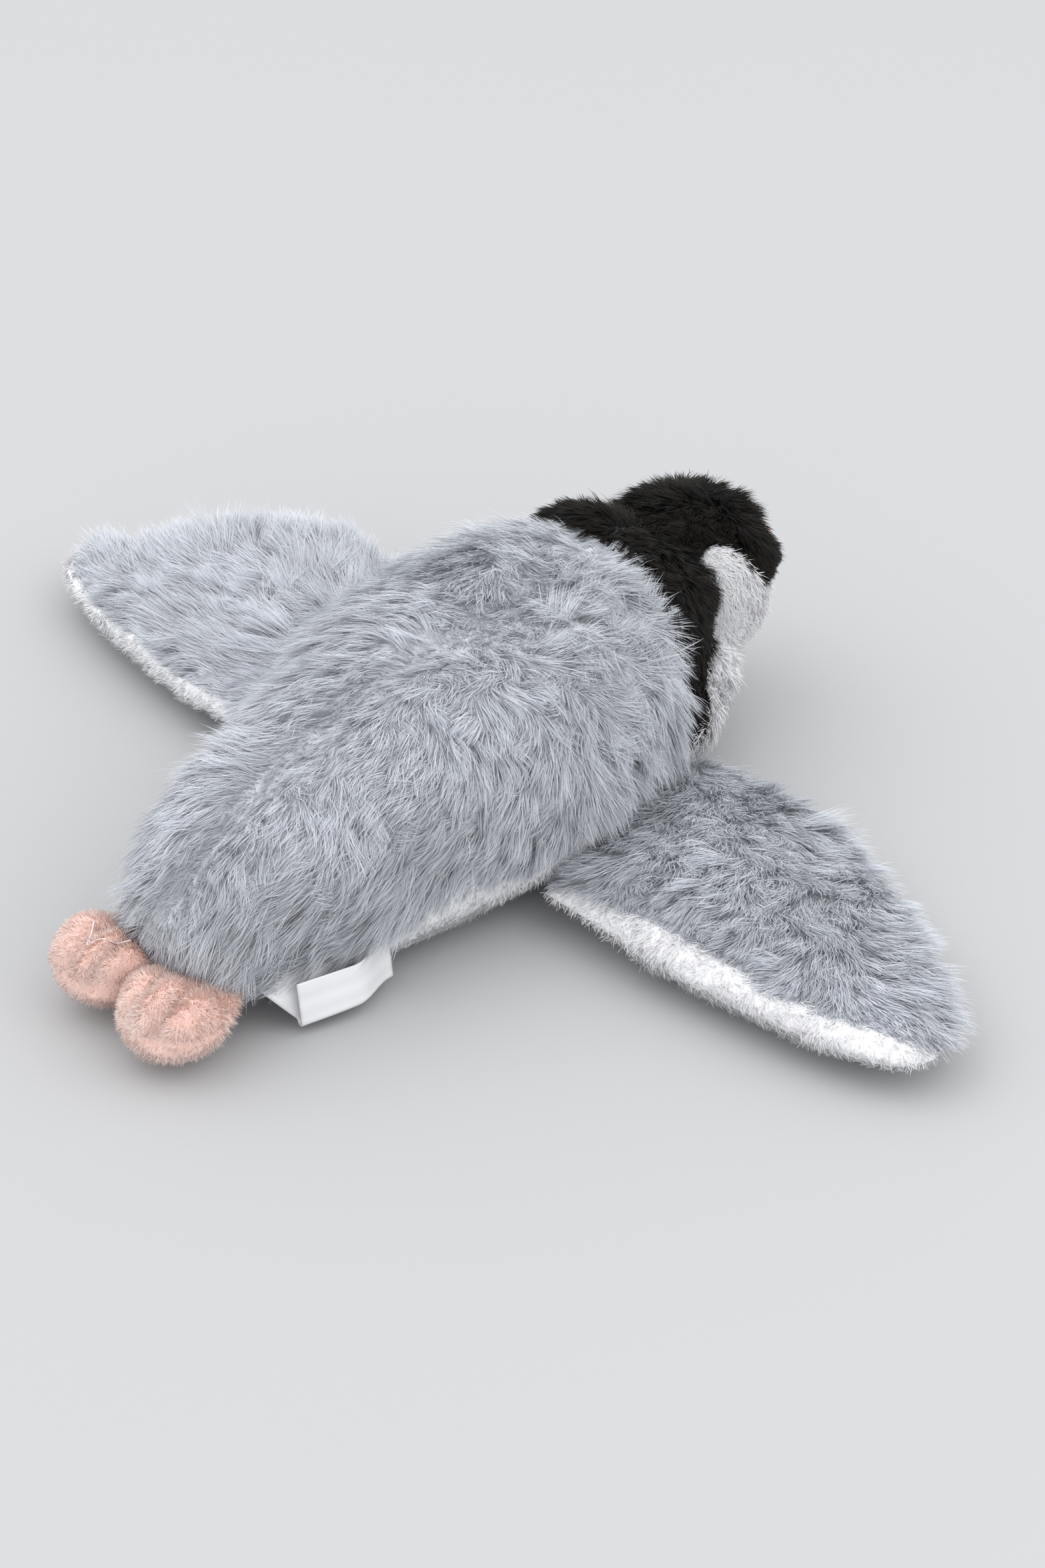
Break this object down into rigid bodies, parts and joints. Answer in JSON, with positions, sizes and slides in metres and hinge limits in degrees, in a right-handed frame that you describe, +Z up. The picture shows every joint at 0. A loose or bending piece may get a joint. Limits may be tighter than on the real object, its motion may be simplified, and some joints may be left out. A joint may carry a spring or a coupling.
{
  "type": "plush penguin chick",
  "caption": "Soft stuffed penguin chick lying on its belly with spread flippers, a raised round head, padded feet and a folded ribbon label in its side seam.",
  "frame": {"origin": "on the flat of the belly that rests on the table, below the middle of the shoulders where the flippers are sewn on", "axes": "+Y towards the head, +X towards the toy's own right side (the right flipper), +Z up"},
  "size_m": [0.4623, 0.3528, 0.097],
  "materials": {
    "grey_long_pile": "long blue-grey polyester pile, combed backwards",
    "black_short_pile": "short black polyester pile",
    "white_short_plush": "short white plush",
    "pink_short_plush": "short peach-pink plush",
    "beak_plush": "short peach-pink plush",
    "fibre_filling": "loose polyester fibre",
    "eye_plastic": "polished black",
    "washer_plastic": "plain moulded",
    "toe_thread": "twisted polyester thread",
    "satin_ribbon": "woven satin ribbon, heat-cut"
  },
  "bodies": {
    "torso": {"back_panel_left": "grey_long_pile", "back_panel_right": "grey_long_pile", "belly_panel": "white_short_plush", "body_stuffing": "fibre_filling", "neck_band_left": "black_short_pile", "neck_band_right": "black_short_pile", "throat_panel": "white_short_plush"},
    "head": {"head_cap_left": "black_short_pile", "head_cap_right": "black_short_pile", "cheek_left": "white_short_plush", "cheek_right": "white_short_plush", "head_stuffing": "fibre_filling", "beak_upper": "beak_plush", "beak_lower": "beak_plush", "eye_left": "eye_plastic", "eye_right": "eye_plastic", "eye_washer_left": "washer_plastic", "eye_washer_right": "washer_plastic"},
    "flipper_left": {"flipper_top_left": "grey_long_pile", "flipper_under_left": "white_short_plush", "flipper_stuffing_left": "fibre_filling"},
    "flipper_right": {"flipper_top_right": "grey_long_pile", "flipper_under_right": "white_short_plush", "flipper_stuffing_right": "fibre_filling"},
    "foot_left": {"foot_top_left": "pink_short_plush", "foot_sole_left": "pink_short_plush", "foot_stuffing_left": "fibre_filling", "toe_stitches_left": "toe_thread"},
    "foot_right": {"foot_top_right": "pink_short_plush", "foot_sole_right": "pink_short_plush", "foot_stuffing_right": "fibre_filling", "toe_stitches_right": "toe_thread"},
    "label": {"side_label": "satin_ribbon"}
  },
  "joints": [
    {"name": "flipper_right_flap", "type": "hinge", "parent": "torso", "child": "flipper_right", "pos_m": [0.0675, 0.009, 0.015], "axis": [0.1392, -0.9903, 0], "range_deg": [-15, 60], "stiffness_Nm_per_rad": 1},
    {"name": "flipper_left_flap", "type": "hinge", "parent": "torso", "child": "flipper_left", "pos_m": [-0.0775, 0.009, 0.015], "axis": [0.309, 0.9511, 0], "range_deg": [-15, 60], "stiffness_Nm_per_rad": 1},
    {"name": "foot_right_flex", "type": "hinge", "parent": "torso", "child": "foot_right", "pos_m": [0.0158, -0.1645, 0.016], "axis": [-0.9962, -0.0872, 0], "range_deg": [-10, 25], "stiffness_Nm_per_rad": 0.03},
    {"name": "foot_left_flex", "type": "hinge", "parent": "torso", "child": "foot_left", "pos_m": [-0.0218, -0.1645, 0.016], "axis": [-0.9962, 0.0872, 0], "range_deg": [-10, 25], "stiffness_Nm_per_rad": 0.03},
    {"name": "head_nod", "type": "hinge", "parent": "torso", "child": "head", "pos_m": [-0.003, 0.112, 0.058], "axis": [0.9848, -0.1736, 0], "range_deg": [-20, 20], "stiffness_Nm_per_rad": 0.3},
    {"name": "label_flap", "type": "hinge", "parent": "torso", "child": "label", "pos_m": [0.03996, -0.135, 0.017], "axis": [-0.304, -0.9527, 0], "range_deg": [0, 60], "stiffness_Nm_per_rad": 0.001}
  ]
}
